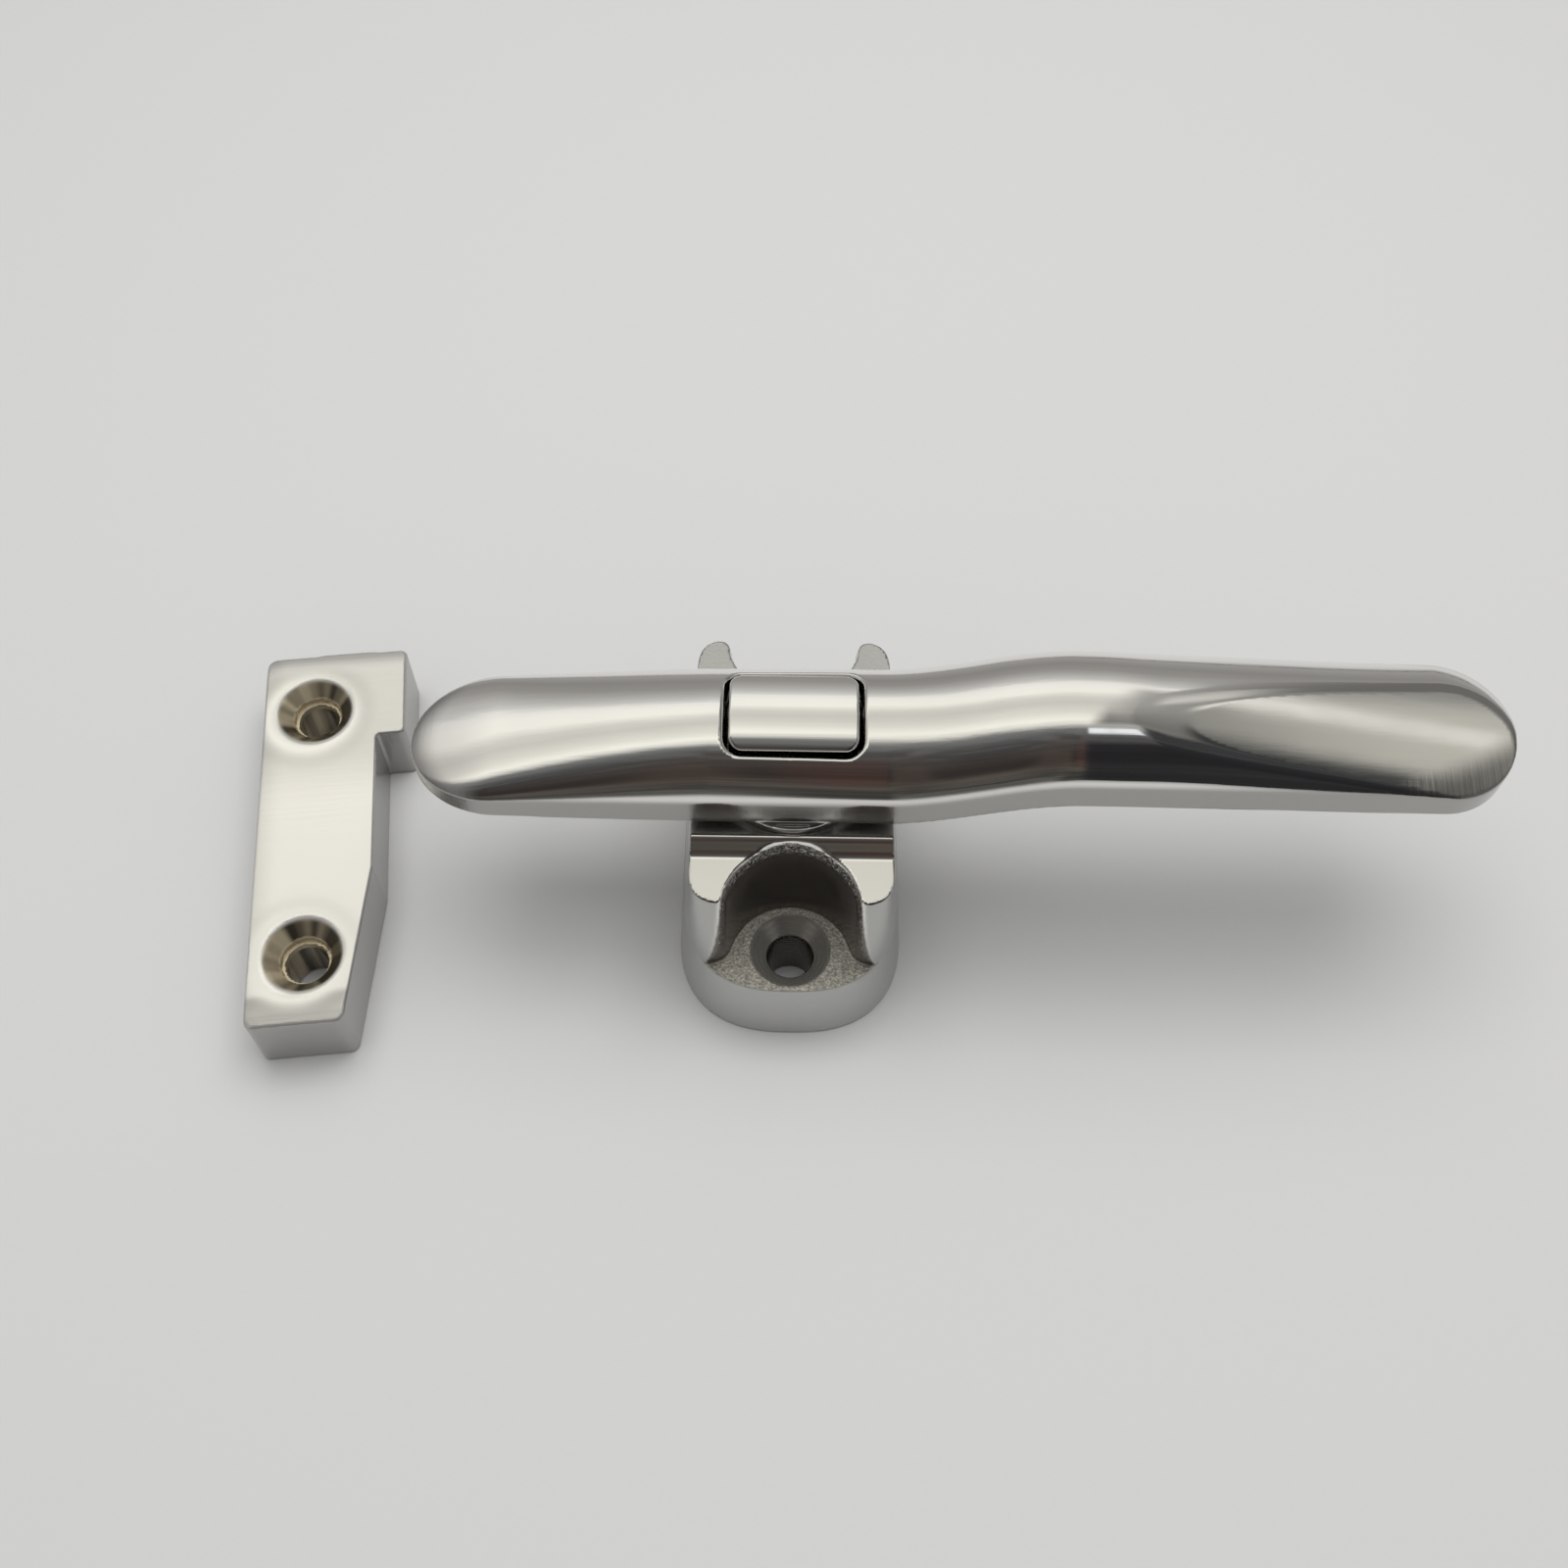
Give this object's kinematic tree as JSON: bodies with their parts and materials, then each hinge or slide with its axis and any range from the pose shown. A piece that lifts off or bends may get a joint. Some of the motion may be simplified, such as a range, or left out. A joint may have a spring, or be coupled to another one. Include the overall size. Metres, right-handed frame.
{
  "type": "door latch",
  "caption": "Cast stainless door latch: a turning lever with a thumb button on a drafted screw-down base, with its separate lugged keeper.",
  "frame": {"origin": "pivot axis at the base's back face, midway between the two base screws", "axes": "+Z away from the door along the pivot, +X along the lever towards its grip, +Y along the line of the base screws"},
  "size_m": [0.1931, 0.0701, 0.0515],
  "materials": {
    "polished_steel": "mirror polished casting",
    "satin_steel": "satin",
    "turned_steel": "turned",
    "spring_steel": "drawn wire",
    "bronze": "machined",
    "acetal": "machined"
  },
  "bodies": {
    "mounting": {"base": "polished_steel", "pivot_bush": "bronze", "thrust_washer": "acetal", "stop_ring": "turned_steel", "strike": "satin_steel"},
    "lever": {"handle": "polished_steel", "spindle": "turned_steel", "disc_spring": "spring_steel", "plain_washer": "turned_steel", "ring_nut": "turned_steel", "button_spring": "spring_steel"},
    "button": {"thumb_button": "polished_steel", "button_stem": "turned_steel", "cross_pin": "turned_steel"}
  },
  "joints": [
    {"name": "handle_turn", "type": "hinge", "parent": "mounting", "child": "lever", "pos_m": [0, 0, 0.033], "axis": [0, 0, 1], "range_deg": [0, 90]},
    {"name": "button_press", "type": "slide", "parent": "lever", "child": "button", "axis": [0, 0, -1], "range_m": [0, 0.0025], "stiffness_N_per_m": 800, "springref_m": -0.003, "deforming": ["button_spring"]}
  ]
}
